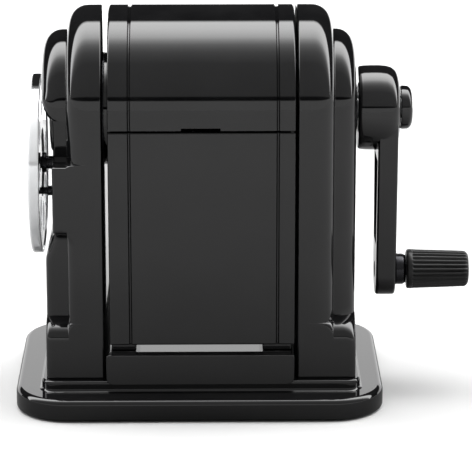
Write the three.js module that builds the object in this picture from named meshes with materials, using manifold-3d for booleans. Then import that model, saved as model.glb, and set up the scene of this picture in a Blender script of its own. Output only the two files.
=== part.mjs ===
// Heavy-duty hand-cranked pencil sharpener, in millimetres, +Z up.
// The cutter axis runs along X. The dial is on the -X end and the crank on the +X end.
// The shavings receptacle pulls out towards -Y.
import * as THREE from 'three';
import { mergeVertices } from 'three/addons/utils/BufferGeometryUtils.js';
import Module from 'manifold-3d';

// ---- driving dimensions ----
const GAP = 0.3;
const AXIS_Z = 104.6;

const BASE_MIN_X = -68.3;
const BASE_MAX_X = 65;
const BASE_HALF_Y = 47;
const BASE_CORNER = 19;
const BASE_EDGE_R = 2;
const BASE_UNDER_Z = 0.5;
const BASE_TOP_Z = 8.3;
const PLINTH_TOP_Z = 12.3;
const PLINTH_MIN_X = -58.7;
const PLINTH_MAX_X = 56.4;
const PLINTH_HALF_Y = 37.2;
const FOOT_Z = PLINTH_TOP_Z + GAP;
const PAD_TOP_Z = 2.2;

// The round tops of the castings and the shell are struck from a centre a little above the cutter axis.
const ARCH_Z = 108;
const ARCH_R = 34.5;
const ARCH_EDGE_R = 5.3;
const STEP_R = 25.6;
const ENTRY_INNER_X = -36.2;
const ENTRY_ARCH_X = -48.7;
const ENTRY_FACE_X = -53.8;
const ENTRY_HOOD_X = -57.9;
const ENTRY_COLUMN_X = -57;
const HOOD_LOW_Z = 105.9;
const BLOCK_TOP_Z = 92.2;
const CRANK_INNER_X = 33.7;
const CRANK_ARCH_X = 46.6;
const CRANK_FACE_X = 54.8;
const COVE_LOW_Z = 26.8;
const COVE_HIGH_Z = 33.2;

const SHELL_MIN_X = -34;
const SHELL_MAX_X = 32.7;
const SHELL_R = 34.5;
const SHELL_WALL = 2;
const SEAM_Z = 106;
const PANEL_BOTTOM_Z = 25;
const REAR_BOTTOM_Z = 31;
const GROOVE_X = 26.4;
const GROOVE_HALF = 0.6;
const GROOVE_DEPTH = 0.7;

const BIN_FLOOR_Z = 27;
const BIN_TOP_Z = 78;
const BIN_FAR_Y = 28;
const RIB_TOP_Z = 22.55;
const RAIL_NEAR_Y = -38.4;
const RAIL_LIP_Z = 11.3;
const RIB_NEAR_Y = -33.6;
const RIBS_X = [[-33.6, -24.3], [20.9, 31.8]];

const DIAL_Z = 84.2;
const DIAL_R = 33;
const DETENT_Z = 73.5;
const DIAL_HOLE_RING = AXIS_Z - DIAL_Z;
const DIAL_HOLE_R = [4.0, 4.4, 4.8, 5.2, 5.6, 6.0, 6.5, 3.5];

const APEX_X = 26.1;
const TILT = THREE.MathUtils.degToRad(11.5);
const RING_TEETH = 36;
const PINION_TEETH = 12;
const PINION_X = -27;
const PINION_LONG = 3.6;
const PINION_PITCH = 5.35;
const CUTTER_R = 5.0;
const CUTTER_FROM_X = -20.6;
const CUTTER_TO_X = -1.6;
const PIN_R = 1.5;
const RING_SCREW_PCR = 14.6;

const THROW = 61.6;
const KNOB_Z = AXIS_Z - THROW;
const ARM_MIN_X = 63.2;
const ARM_MAX_X = 70.5;
const HUB_R = 15.5;

const wasm = await Module();
wasm.setup();

// ---- shape helpers ----
function solidOf(geometry) {
  const plain = geometry.clone();
  plain.deleteAttribute('normal');
  plain.deleteAttribute('uv');
  const merged = mergeVertices(plain, 1e-4);
  const vertProperties = new Float32Array(merged.attributes.position.array);
  const triVerts = new Uint32Array(merged.index.array);
  return new wasm.Manifold(new wasm.Mesh({ numProp: 3, vertProperties, triVerts }));
}

function geometryOf(solid) {
  const mesh = solid.getMesh();
  const geometry = new THREE.BufferGeometry();
  geometry.setAttribute('position', new THREE.BufferAttribute(new Float32Array(mesh.vertProperties), 3));
  geometry.setIndex(new THREE.BufferAttribute(new Uint32Array(mesh.triVerts), 1));
  geometry.computeVertexNormals();
  return geometry;
}

function union(list) {
  return list.reduce((sum, next) => sum.add(next));
}

function cut(body, list) {
  return list.reduce((rest, next) => rest.subtract(next), body);
}

function box(x0, x1, y0, y1, z0, z1) {
  const geometry = new THREE.BoxGeometry(x1 - x0, y1 - y0, z1 - z0);
  geometry.translate((x0 + x1) / 2, (y0 + y1) / 2, (z0 + z1) / 2);
  return solidOf(geometry);
}

function rodX(r, x0, x1, y = 0, z = AXIS_Z, segments = 32) {
  const geometry = new THREE.CylinderGeometry(r, r, x1 - x0, segments);
  geometry.rotateZ(-Math.PI / 2);
  geometry.translate((x0 + x1) / 2, y, z);
  return solidOf(geometry);
}

function rodY(r, y0, y1, x, z, segments = 20) {
  const geometry = new THREE.CylinderGeometry(r, r, y1 - y0, segments);
  geometry.translate(x, (y0 + y1) / 2, z);
  return solidOf(geometry);
}

function rodZ(r, z0, z1, x, y, segments = 16) {
  const geometry = new THREE.CylinderGeometry(r, r, z1 - z0, segments);
  geometry.rotateX(Math.PI / 2);
  geometry.translate(x, y, (z0 + z1) / 2);
  return solidOf(geometry);
}

// A turned piece about an axis along X. The profile is a list of [x, radius].
function turnedX(profile, y, z, segments = 28) {
  const points = profile.map(([x, r]) => new THREE.Vector2(r, x));
  const geometry = new THREE.LatheGeometry(points, segments);
  geometry.rotateZ(-Math.PI / 2);
  geometry.translate(0, y, z);
  const solid = solidOf(geometry);
  if (solid.volume() > 0) {
    return solid;
  }
  const back = new THREE.LatheGeometry(points.reverse(), segments);
  back.rotateZ(-Math.PI / 2);
  back.translate(0, y, z);
  return solidOf(back);
}

function extruded(shape, length, options = {}) {
  const settings = { depth: length, bevelEnabled: false, curveSegments: 24, ...options };
  return new THREE.ExtrudeGeometry(shape, settings);
}

// The shape is drawn in (Y, Z) and runs along X.
function alongX(shape, x0, x1, options) {
  const geometry = extruded(shape, x1 - x0, options);
  geometry.applyMatrix4(new THREE.Matrix4().set(0, 0, 1, x0, 1, 0, 0, 0, 0, 1, 0, 0, 0, 0, 0, 1));
  return solidOf(geometry);
}

// The shape is drawn in (X, Z) and runs along Y.
function alongY(shape, y0, y1, options) {
  const geometry = extruded(shape, y1 - y0, options);
  geometry.rotateX(Math.PI / 2);
  geometry.translate(0, y1, 0);
  return solidOf(geometry);
}

// The shape is drawn in (X, Y) and runs along Z.
function alongZ(shape, z0, z1, options) {
  const geometry = extruded(shape, z1 - z0, options);
  geometry.translate(0, 0, z0);
  return solidOf(geometry);
}

function polygon(points) {
  return new THREE.Shape(points.map(([u, v]) => new THREE.Vector2(u, v)));
}

// A rectangle with its own radius at each corner, from the low-u low-v corner anticlockwise.
function roundedRect(u0, u1, v0, v1, radii) {
  const [a, b, c, d] = typeof radii === 'number' ? [radii, radii, radii, radii] : radii;
  const shape = new THREE.Shape();
  shape.moveTo(u0 + a, v0);
  shape.lineTo(u1 - b, v0);
  if (b > 0) shape.absarc(u1 - b, v0 + b, b, -Math.PI / 2, 0, false);
  shape.lineTo(u1, v1 - c);
  if (c > 0) shape.absarc(u1 - c, v1 - c, c, 0, Math.PI / 2, false);
  shape.lineTo(u0 + d, v1);
  if (d > 0) shape.absarc(u0 + d, v1 - d, d, Math.PI / 2, Math.PI, false);
  shape.lineTo(u0, v0 + a);
  if (a > 0) shape.absarc(u0 + a, v0 + a, a, Math.PI, Math.PI * 1.5, false);
  return shape;
}

// Straight sides with a half-round top, in (Y, Z).
function arch(r, bottomZ) {
  const shape = new THREE.Shape();
  shape.moveTo(-r, bottomZ);
  shape.lineTo(r, bottomZ);
  shape.lineTo(r, ARCH_Z);
  shape.absarc(0, ARCH_Z, r, 0, Math.PI, false);
  shape.lineTo(-r, bottomZ);
  return shape;
}

// An arch slab with a rounded edge on its outer end. It is cut flat at the inner end and the bottom.
function archSlab(r, innerX, outerX, edge, bottomZ) {
  const low = Math.min(innerX, outerX);
  const high = Math.max(innerX, outerX);
  const reach = edge * 2.2;
  const fullLow = outerX < innerX ? low : low - reach;
  const fullHigh = outerX < innerX ? high + reach : high;
  const bevel = { bevelEnabled: true, bevelSize: edge, bevelThickness: edge, bevelOffset: -edge };
  const options = { ...bevel, bevelSegments: 3, curveSegments: 18 };
  const whole = alongX(arch(r, bottomZ - 3 * edge), fullLow + edge, fullHigh - edge, options);
  return whole.intersect(box(low, high, -r - 1, r + 1, bottomZ, ARCH_Z + r + 1));
}

function addPart(group, name, solid, material) {
  const mesh = new THREE.Mesh(geometryOf(solid), material.clone());
  mesh.name = name;
  group.add(mesh);
}

// ---- materials ----
function finish(color, metalness, roughness) {
  return new THREE.MeshStandardMaterial({ color, metalness, roughness });
}

const ENAMEL = finish(0x0c0c0d, 0.0, 0.15);
const CHROME = finish(0xd8dadc, 1.0, 0.12);
const STEEL = finish(0x8d9094, 1.0, 0.35);
const BLACK_STEEL = finish(0x1b1c1e, 0.8, 0.35);
const BRONZE = finish(0x9a7a48, 1.0, 0.35);
const GRIP_PLASTIC = finish(0x141414, 0.0, 0.6);
const BIN_PLASTIC = finish(0x111112, 0.0, 0.2);
const PAD_RUBBER = finish(0x101010, 0.0, 0.9);

// ---- base ----
const UPRIGHT_SCREWS = [[-45, -20], [-45, 20], [43, -20], [43, 20]];
const GUIDE_SCREWS = [[-17, 25], [17, 25]];
const COVER_SCREWS = [[-18, 99], [18, 99]];

function basePlate() {
  const outline = roundedRect(BASE_MIN_X, BASE_MAX_X, -BASE_HALF_Y, BASE_HALF_Y, BASE_CORNER);
  const bevel = { bevelEnabled: true, bevelSize: BASE_EDGE_R, bevelThickness: BASE_EDGE_R };
  const options = { ...bevel, bevelOffset: -BASE_EDGE_R, bevelSegments: 3, curveSegments: 7 };
  const full = alongZ(outline, BASE_UNDER_Z - 8, BASE_TOP_Z - BASE_EDGE_R, options);
  const lid = full.intersect(box(-99, 99, -99, 99, BASE_UNDER_Z, 99));
  const plinthOutline = roundedRect(PLINTH_MIN_X, PLINTH_MAX_X, -PLINTH_HALF_Y, PLINTH_HALF_Y, 5);
  const round = { bevelEnabled: true, bevelSize: 1, bevelThickness: 1, bevelOffset: -1, bevelSegments: 1 };
  const plinth = alongZ(plinthOutline, BASE_TOP_Z - 3, PLINTH_TOP_Z - 1, { ...round, curveSegments: 5 });
  const padSeat = roundedRect(-63.9, 60.6, -42.6, 42.6, 14.8);
  const seats = [alongZ(padSeat, -1, PAD_TOP_Z + GAP, { curveSegments: 5 })];
  for (const [x, y] of [...UPRIGHT_SCREWS, ...GUIDE_SCREWS]) {
    seats.push(rodZ(2.35, -1, 20, x, y));
    seats.push(rodZ(4.4, -1, 6.2, x, y));
  }
  return cut(lid.add(plinth), seats);
}

function basePad() {
  return alongZ(roundedRect(-63.5, 60.2, -42.2, 42.2, 14.4), 0, PAD_TOP_Z, { curveSegments: 5 });
}

function baseScrew(x, y, topZ) {
  return rodZ(2, 5.9, topZ, x, y).add(rodZ(4.1, PAD_TOP_Z + 0.6, 5.9, x, y));
}

// ---- uprights ----
// The foot is full width and draws in along a sloping ledge on both sides.
function upFoot(outerX, innerX, edge) {
  const side = [[-ARCH_R, FOOT_Z], [ARCH_R, FOOT_Z]];
  const steps = 4;
  const rise = COVE_HIGH_Z - COVE_LOW_Z;
  const inset = ARCH_R - STEP_R + 1;
  for (let i = 0; i <= steps; i += 1) {
    const t = i / steps;
    side.push([ARCH_R - inset * (1 - Math.cos(t * Math.PI / 2)), COVE_LOW_Z + rise * Math.sin(t * Math.PI / 2)]);
  }
  for (let i = steps; i >= 0; i -= 1) {
    const t = i / steps;
    side.push([-ARCH_R + inset * (1 - Math.cos(t * Math.PI / 2)), COVE_LOW_Z + rise * Math.sin(t * Math.PI / 2)]);
  }
  const low = Math.min(outerX, innerX);
  const high = Math.max(outerX, innerX);
  const corner = outerX < innerX ? [edge, 0, 0, edge] : [0, edge, edge, 0];
  const plan = roundedRect(low, high, -ARCH_R, ARCH_R, corner);
  return alongX(polygon(side), low, high).intersect(alongZ(plan, FOOT_Z, COVE_HIGH_Z + 1, { curveSegments: 6 }));
}

function entryUpright() {
  const slab = archSlab(ARCH_R, ENTRY_INNER_X, ENTRY_ARCH_X, ARCH_EDGE_R, FOOT_Z);
  const hoodFull = archSlab(STEP_R, ENTRY_ARCH_X + 3, ENTRY_HOOD_X, 6.6, 60);
  const hood = hoodFull.intersect(box(-70, -40, -40, 40, HOOD_LOW_Z, 150));
  const wall = box(ENTRY_FACE_X, ENTRY_ARCH_X + 3, -23.9, 23.9, 80, HOOD_LOW_Z + 0.4);
  const midSide = roundedRect(ENTRY_FACE_X, ENTRY_ARCH_X + 6, 64, BLOCK_TOP_Z, [0, 0, 0, 2.4]);
  const midPlan = roundedRect(ENTRY_FACE_X, ENTRY_ARCH_X + 6, -ARCH_R, ARCH_R, [1.6, 0, 0, 1.6]);
  const middle = alongY(midSide, -ARCH_R, ARCH_R).intersect(alongZ(midPlan, 63, BLOCK_TOP_Z + 1, { curveSegments: 5 }));
  const columnSide = polygon([
    [ENTRY_ARCH_X + 3, FOOT_Z], [ENTRY_COLUMN_X, FOOT_Z], [ENTRY_COLUMN_X, 53.4], [ENTRY_COLUMN_X + 0.3, 57],
    [ENTRY_COLUMN_X + 1.2, 60.4], [ENTRY_FACE_X - 0.4, 63.4], [ENTRY_FACE_X, 66.2], [ENTRY_ARCH_X + 3, 66.2],
  ]);
  const columnPlan = roundedRect(ENTRY_COLUMN_X, ENTRY_ARCH_X + 3, -STEP_R, STEP_R, [2.4, 0, 0, 2.4]);
  const columnBlank = alongY(columnSide, -STEP_R, STEP_R);
  const column = columnBlank.intersect(alongZ(columnPlan, FOOT_Z, 68, { curveSegments: 5 }));
  const foot = upFoot(ENTRY_COLUMN_X, ENTRY_ARCH_X + 3, 2.4);
  const boss = rodX(15.5, ENTRY_FACE_X - 1.6, ENTRY_FACE_X + 1, 0, AXIS_Z, 40);
  const body = union([slab, hood, wall, middle, column, foot, boss]);
  const cuts = [
    rodX(6.4, -70, -30, 0, AXIS_Z, 32),
    rodX(20.7, ENTRY_INNER_X - 4, -30, 0, AXIS_Z, 36),
    alongX(roundedRect(-22.4, 22.4, FOOT_Z - 5, 60, [0, 0, 4, 4]), -52.5, -40.3),
    rodX(2.25, ENTRY_FACE_X - 9, ENTRY_FACE_X + 8, 0, DIAL_Z, 24),
    rodX(2.15, ENTRY_FACE_X - 1, ENTRY_FACE_X + 6.5, 0, DETENT_Z, 24),
  ];
  for (const [y, z] of ringScrewSpots()) {
    cuts.push(rodX(1.3, ENTRY_INNER_X - 9.6, -30, y, z, 16));
  }
  for (const [x, y] of UPRIGHT_SCREWS.slice(0, 2)) {
    cuts.push(rodZ(2.15, FOOT_Z - 1, 26, x, y));
  }
  const relieved = cut(body, cuts);
  const bosses = [];
  for (const [x, y] of UPRIGHT_SCREWS.slice(0, 2)) {
    bosses.push(cut(box(x - 5, x + 5, y - 5, y + 5, FOOT_Z, 28), [rodZ(2.15, FOOT_Z - 1, 26, x, y)]));
  }
  return union([relieved, ...bosses]);
}

function crankUpright() {
  const slab = archSlab(ARCH_R, CRANK_INNER_X, CRANK_ARCH_X, ARCH_EDGE_R, FOOT_Z);
  const step = archSlab(STEP_R, CRANK_ARCH_X - 3, CRANK_FACE_X, 6, FOOT_Z);
  const foot = upFoot(CRANK_FACE_X, CRANK_ARCH_X - 3, 2.4);
  const bearing = rodX(10.5, CRANK_INNER_X - 2.6, CRANK_INNER_X + 1, 0, AXIS_Z, 36);
  const body = union([slab, step, foot, bearing]);
  const cuts = [
    rodX(6.9, 20, 70, 0, AXIS_Z, 36),
    rodX(9.2, CRANK_FACE_X - 1.7, 70, 0, AXIS_Z, 36),
    alongX(roundedRect(-22, 22, FOOT_Z - 5, 82, [0, 0, 5, 5]), 37.4, 50),
  ];
  for (const [x, y] of UPRIGHT_SCREWS.slice(2)) {
    cuts.push(rodZ(2.15, FOOT_Z - 1, 26, x, y));
  }
  const relieved = cut(body, cuts);
  const bosses = [];
  for (const [x, y] of UPRIGHT_SCREWS.slice(2)) {
    bosses.push(cut(box(x - 6, x + 7.5, y - 5, y + 5, FOOT_Z, 28), [rodZ(2.15, FOOT_Z - 1, 26, x, y)]));
  }
  return union([relieved, ...bosses]);
}

// ---- shell, receptacle and guide ----
function grooveCuts(outline) {
  return [-GROOVE_X, GROOVE_X].map((x) => outline(x - GROOVE_HALF, x + GROOVE_HALF));
}

function domeCover() {
  const outer = alongX(arch(SHELL_R, SEAM_Z), SHELL_MIN_X, SHELL_MAX_X, { curveSegments: 20 });
  const inner = alongX(arch(SHELL_R - SHELL_WALL, SEAM_Z - 1), SHELL_MIN_X - 1, SHELL_MAX_X + 1, { curveSegments: 20 });
  const skin = outer.subtract(inner);
  const grooves = grooveCuts((x0, x1) => {
    const band = alongX(arch(SHELL_R + 3, SEAM_Z - 1), x0, x1, { curveSegments: 20 });
    return band.subtract(alongX(arch(SHELL_R - GROOVE_DEPTH, SEAM_Z - 2), x0 - 1, x1 + 1, { curveSegments: 20 }));
  });
  const notch = box(-12, 10, -SHELL_R - 1, -SHELL_R + 5, SEAM_Z - 1, SEAM_Z + 0.9);
  const tabs = COVER_SCREWS.flatMap(([x]) => [
    box(x - 5, x + 5, SHELL_R - 4.3, SHELL_R - 2.3, 91, SEAM_Z + 4),
    box(x - 5, x + 5, SHELL_R - 4.3, SHELL_R - 1, SEAM_Z + 0.4, SEAM_Z + 4),
  ]);
  const screwHoles = COVER_SCREWS.map(([x, z]) => rodY(1.3, SHELL_R - 6, SHELL_R + 2, x, z, 16));
  return cut(union([cut(skin, [...grooves, notch]), ...tabs]), screwHoles);
}

function sidePanel(outward, bottomZ) {
  const faceY = outward < 0 ? [-SHELL_R, -SHELL_R + SHELL_WALL] : [SHELL_R - SHELL_WALL, SHELL_R];
  const slab = box(SHELL_MIN_X, SHELL_MAX_X, faceY[0], faceY[1], bottomZ, SEAM_Z - 0.7);
  const outerY = outward < 0 ? [-SHELL_R - 1, -SHELL_R + GROOVE_DEPTH] : [SHELL_R - GROOVE_DEPTH, SHELL_R + 1];
  const grooves = grooveCuts((x0, x1) => box(x0, x1, outerY[0], outerY[1], 0, 200));
  return cut(slab, grooves);
}

function receptacle() {
  const panel = sidePanel(-1, PANEL_BOTTOM_Z);
  const innerY = -SHELL_R + SHELL_WALL;
  const floor = box(SHELL_MIN_X, SHELL_MAX_X, innerY - 0.5, BIN_FAR_Y, BIN_FLOOR_Z, BIN_FLOOR_Z + 2);
  const low = box(SHELL_MIN_X, SHELL_MIN_X + 2, innerY - 0.5, BIN_FAR_Y, BIN_FLOOR_Z, BIN_TOP_Z);
  const high = box(SHELL_MAX_X - 2, SHELL_MAX_X, innerY - 0.5, BIN_FAR_Y, BIN_FLOOR_Z, BIN_TOP_Z);
  const far = box(SHELL_MIN_X, SHELL_MAX_X, BIN_FAR_Y - 2, BIN_FAR_Y, BIN_FLOOR_Z, BIN_TOP_Z);
  const runners = RIBS_X.map(([x0, x1]) => box(x0 + 0.3, x1 - 0.3, innerY - 0.6, BIN_FAR_Y, RIB_TOP_Z + GAP, BIN_FLOOR_Z + 0.5));
  const catchPocket = box(-31.6, -26, 19.5, 28, RIB_TOP_Z, RIB_TOP_Z + GAP + 1.2);
  return cut(union([panel, floor, low, high, far, ...runners]), [catchPocket]);
}

function rearPanel() {
  const slab = sidePanel(1, REAR_BOTTOM_Z);
  const foot = box(-23, 23, SHELL_R - SHELL_WALL - 1.4, SHELL_R - 0.5, REAR_BOTTOM_Z, REAR_BOTTOM_Z + 1.5);
  const holes = COVER_SCREWS.map(([x, z]) => rodY(1.9, SHELL_R - 6, SHELL_R + 2, x, z, 20));
  return cut(slab.add(foot), holes);
}

function receptacleGuide() {
  const bottom = FOOT_Z;
  const top = RIB_TOP_Z - 0.15;
  const lip = alongY(roundedRect(-35.2, 32.4, RAIL_LIP_Z, top, [2.6, 2.6, 0.6, 0.6]), RAIL_NEAR_Y, -37.5, { curveSegments: 6 });
  const rail = box(-34.6, 31.8, -37.6, RIB_NEAR_Y, bottom, top);
  const ribs = RIBS_X.map(([x0, x1]) => box(x0, x1, RIB_NEAR_Y - 0.5, 31, bottom, RIB_TOP_Z));
  const web = box(-25, 25, RIB_NEAR_Y - 0.5, 30, bottom, bottom + 1.5);
  const springSeat = box(-31.6, -26, 5.5, 28.5, bottom + 1, RIB_TOP_Z + 1);
  const holes = GUIDE_SCREWS.map(([x, y]) => rodZ(1.6, bottom - 1, bottom + 9, x, y, 20));
  const bosses = GUIDE_SCREWS.map(([x, y]) => rodZ(3.4, bottom, bottom + 4.5, x, y, 24));
  return cut(union([lip, rail, ...ribs, web, ...bosses]), [springSeat, ...holes]);
}

function guideScrew(x, y) {
  return rodZ(1.5, 5.9, FOOT_Z + 5, x, y, 20).add(rodZ(4.1, PAD_TOP_Z + 0.6, 5.9, x, y));
}

// A bent leaf whose nose stands up under the catch pocket in the receptacle's runner.
function lockSpring() {
  const z = FOOT_Z + 1.3;
  const points = [
    [7, z], [24, z], [27, z + 6.9], [24, z + 8.6], [21.4, z + 6.7], [22.2, z + 6.2], [24, z + 7.5], [25.8, z + 6.5],
    [23.4, z + 0.7], [7, z + 0.7],
  ];
  return alongX(polygon(points), -31.3, -26.3);
}

// ---- ring gear, carrier and cutters ----
function ringScrewSpots() {
  return [90, 210, 330].map((angle) => {
    const a = THREE.MathUtils.degToRad(angle);
    return [RING_SCREW_PCR * Math.cos(a), AXIS_Z + RING_SCREW_PCR * Math.sin(a)];
  });
}

// Points of a gear outline in its own plane: tooth tips out to tipR, gaps down to rootR.
function gearOutline(teeth, rootR, tipR, tipShare, rootShare, phase) {
  const points = [];
  const pitch = (Math.PI * 2) / teeth;
  for (let i = 0; i < teeth; i += 1) {
    const mid = phase + i * pitch;
    const corners = [[-rootShare, rootR], [-tipShare, tipR], [tipShare, tipR], [rootShare, rootR]];
    for (const [share, r] of corners) {
      points.push([r * Math.cos(mid + share * pitch / 2), r * Math.sin(mid + share * pitch / 2)]);
    }
  }
  return points;
}

// Scale a solid's cross section towards the apex, so that its teeth run to a point on the axis.
function taper(geometry, apexDistance) {
  const position = geometry.attributes.position;
  for (let i = 0; i < position.count; i += 1) {
    const scale = (apexDistance - position.getZ(i)) / apexDistance;
    position.setX(i, position.getX(i) * scale);
    position.setY(i, position.getY(i) * scale);
  }
  return geometry;
}

const RING_X = -25.2;
const RING_HALF = 3.2;

function ringGear() {
  const shell = turnedX([
    [ENTRY_INNER_X + GAP, 0], [ENTRY_INNER_X + GAP, 20.4], [-21.2, 20.4], [-20.6, 19.8], [-20.6, 0],
  ], 0, AXIS_Z, 30);
  const spigot = rodX(20.4, ENTRY_INNER_X - 3.6, ENTRY_INNER_X + 1, 0, AXIS_Z, 36);
  const distance = APEX_X - (RING_X - RING_HALF);
  const pitchR = Math.tan(TILT + Math.asin(PINION_PITCH / ((APEX_X - PINION_X) / Math.cos(TILT)))) * distance;
  const module_ = (2 * pitchR) / RING_TEETH;
  const points = gearOutline(RING_TEETH, pitchR - 0.62 * module_, pitchR + 1.05 * module_, 0.42, 0.72, Math.PI / 2);
  const teeth = taper(extruded(polygon(points), RING_HALF * 2), distance);
  teeth.applyMatrix4(new THREE.Matrix4().set(0, 0, 1, RING_X - RING_HALF, 1, 0, 0, 0, 0, 1, 0, AXIS_Z, 0, 0, 0, 1));
  const gearSpace = solidOf(teeth);
  const well = turnedX([
    [-31.6, 0], [-31.6, 17.6], [RING_X - RING_HALF + 0.02, 17.6], [RING_X - RING_HALF + 0.02, 0],
  ], 0, AXIS_Z, 30);
  const mouth = rodX(16.6, RING_X + RING_HALF - 0.02, -19, 0, AXIS_Z, 36);
  const pencilHole = rodX(6.4, -50, -19, 0, AXIS_Z, 36);
  const screwHoles = ringScrewSpots().map(([y, z]) => rodX(1.3, -50, -31, y, z, 16));
  const headSeats = ringScrewSpots().map(([y, z]) => rodX(2.2, -33.5, -31, y, z, 16));
  return cut(shell.add(spigot), [gearSpace, well, mouth, pencilHole, ...screwHoles, ...headSeats]);
}

// Place something built along local +Z with its origin at the pinion centre, facing the apex.
function cutterFrame(side) {
  const offset = (APEX_X - PINION_X) * Math.tan(TILT);
  const direction = new THREE.Vector3(Math.cos(TILT), 0, -side * Math.sin(TILT));
  const across = new THREE.Vector3(0, 1, 0);
  const inward = new THREE.Vector3().crossVectors(across, direction);
  const matrix = new THREE.Matrix4().makeBasis(inward, across, direction);
  matrix.setPosition(PINION_X, 0, AXIS_Z + side * offset);
  return matrix;
}

function alongCutter(x) {
  return (x - PINION_X) / Math.cos(TILT);
}

function tiltedRod(r, from, to, side, segments = 24) {
  const geometry = new THREE.CylinderGeometry(r, r, to - from, segments);
  geometry.rotateX(Math.PI / 2);
  geometry.translate(0, 0, (from + to) / 2);
  geometry.applyMatrix4(cutterFrame(side));
  return solidOf(geometry);
}

function cutter(side) {
  const distance = (APEX_X - PINION_X) / Math.cos(TILT) + PINION_LONG / 2;
  const pitchR = (PINION_PITCH * distance) / (distance - PINION_LONG / 2);
  const module_ = (2 * pitchR) / PINION_TEETH;
  const outline = gearOutline(PINION_TEETH, pitchR - 1.0 * module_, pitchR + 0.55 * module_, 0.3, 0.62, 0);
  const pinionGeometry = taper(extruded(polygon(outline), PINION_LONG), distance);
  pinionGeometry.translate(0, 0, -PINION_LONG / 2);
  pinionGeometry.applyMatrix4(cutterFrame(side));
  const from = alongCutter(CUTTER_FROM_X);
  const to = alongCutter(CUTTER_TO_X);
  const flutes = 12;
  const fluteOutline = gearOutline(flutes, CUTTER_R - 0.7, CUTTER_R, 0.1, 0.8, 0);
  const fluteGeometry = extruded(polygon(fluteOutline), to - from, { steps: 7 });
  const position = fluteGeometry.attributes.position;
  for (let i = 0; i < position.count; i += 1) {
    const turn = (position.getZ(i) / (to - from)) * 1.15;
    const x = position.getX(i);
    const y = position.getY(i);
    position.setX(i, x * Math.cos(turn) - y * Math.sin(turn));
    position.setY(i, x * Math.sin(turn) + y * Math.cos(turn));
  }
  fluteGeometry.translate(0, 0, from);
  fluteGeometry.applyMatrix4(cutterFrame(side));
  const neck = tiltedRod(2.7, -PINION_LONG / 2, from + 1, side);
  const bore = tiltedRod(PIN_R + 0.06, -9, to + 5, side);
  return cut(union([solidOf(pinionGeometry), neck, solidOf(fluteGeometry)]), [bore]);
}

function cutterPin(side) {
  return tiltedRod(PIN_R, alongCutter(-30.2), alongCutter(4.6), side);
}

function cutterCarrier() {
  const frontPlate = turnedX([[-23.9, 0], [-23.9, 13.2], [-21.6, 14.6], [-21.4, 14.6], [-21.4, 0]], 0, AXIS_Z, 30);
  const rearHub = turnedX([
    [-0.6, 0], [-0.6, 12.6], [3, 13], [9, 11.4], [12, 9], [19, 8.2], [19, 0],
  ], 0, AXIS_Z, 30);
  const webs = [-1, 1].map((side) => {
    const y0 = side < 0 ? -12.4 : 7.6;
    const y1 = side < 0 ? -7.6 : 12.4;
    return box(-22, 0.5, y0, y1, AXIS_Z - 3.6, AXIS_Z + 3.6);
  });
  const cuts = [
    rodX(4.7, -30, -20, 0, AXIS_Z, 40),
    turnedX([[-3, 0], [-3, 2.6], [1.5, 1.6], [6, 0]], 0, AXIS_Z, 24),
    rodX(4.06, 8.1, 30, 0, AXIS_Z, 32),
  ];
  for (const side of [-1, 1]) {
    cuts.push(tiltedRod(3.1, -2, alongCutter(-19.5), side));
    cuts.push(tiltedRod(PIN_R + 0.04, -9, alongCutter(5), side));
    cuts.push(tiltedRod(5.6, alongCutter(CUTTER_FROM_X) - 0.3, alongCutter(CUTTER_TO_X) + 0.4, side, 40));
  }
  return cut(union([frontPlate, rearHub, ...webs]), cuts);
}

function driveShaft() {
  return turnedX([
    [8.4, 0], [8.4, 4], [74.3, 4], [74.3, 0],
  ], 0, AXIS_Z, 30);
}

function crankBush() {
  return turnedX([
    [30.6, 4.08], [30.6, 6.6], [CRANK_FACE_X - 1.3, 6.6], [CRANK_FACE_X - 1.3, 4.08], [30.6, 4.08],
  ], 0, AXIS_Z, 30);
}

function thrustWasher() {
  return turnedX([
    [CRANK_FACE_X - 1.1, 4.3], [CRANK_FACE_X - 1.1, 9], [CRANK_FACE_X + 0.9, 9], [CRANK_FACE_X + 0.9, 4.3],
    [CRANK_FACE_X - 1.1, 4.3],
  ], 0, AXIS_Z, 30);
}

// ---- crank and grip ----
function crankArm() {
  const hub = turnedX([
    [56, 0], [56, 14.8], [56.7, 15.3], [61.8, HUB_R], [65.8, HUB_R], [69, 14.7],
    [70.5, 13.5], [71.2, 11.6], [71.3, 0],
  ], 0, AXIS_Z, 32);
  const armShape = new THREE.Shape();
  armShape.moveTo(-13.2, AXIS_Z);
  armShape.lineTo(-9.4, KNOB_Z);
  armShape.absarc(0, KNOB_Z, 9.4, Math.PI, Math.PI * 2, false);
  armShape.lineTo(13.2, AXIS_Z);
  armShape.lineTo(-13.2, AXIS_Z);
  const bevel = { bevelEnabled: true, bevelSize: 1.2, bevelThickness: 1.2, bevelOffset: -1.2 };
  const options = { ...bevel, bevelSegments: 2, curveSegments: 14 };
  const arm = alongX(armShape, ARM_MIN_X + 1.2, ARM_MAX_X - 1.2, options);
  const troughShape = new THREE.Shape();
  troughShape.moveTo(-9.4, AXIS_Z - 18);
  troughShape.lineTo(-6.6, KNOB_Z + 11);
  troughShape.lineTo(6.6, KNOB_Z + 11);
  troughShape.lineTo(9.4, AXIS_Z - 18);
  const trough = alongX(troughShape, ARM_MIN_X - 1, ARM_MIN_X + 2.2);
  const shaftHole = rodX(4.06, 50, 80, 0, AXIS_Z, 40);
  const spindleHole = rodX(3.06, 60, 80, 0, KNOB_Z, 32);
  return cut(hub.add(arm), [trough, shaftHole, spindleHole]);
}

function capNut() {
  return turnedX([
    [71.6, 4.06], [71.6, 7.6], [72.1, 8], [74.1, 7.9], [75.4, 7.1], [76.1, 5.4], [76.1, 0],
    [74.6, 0], [74.6, 4.06], [71.6, 4.06],
  ], 0, AXIS_Z, 28);
}

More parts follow.
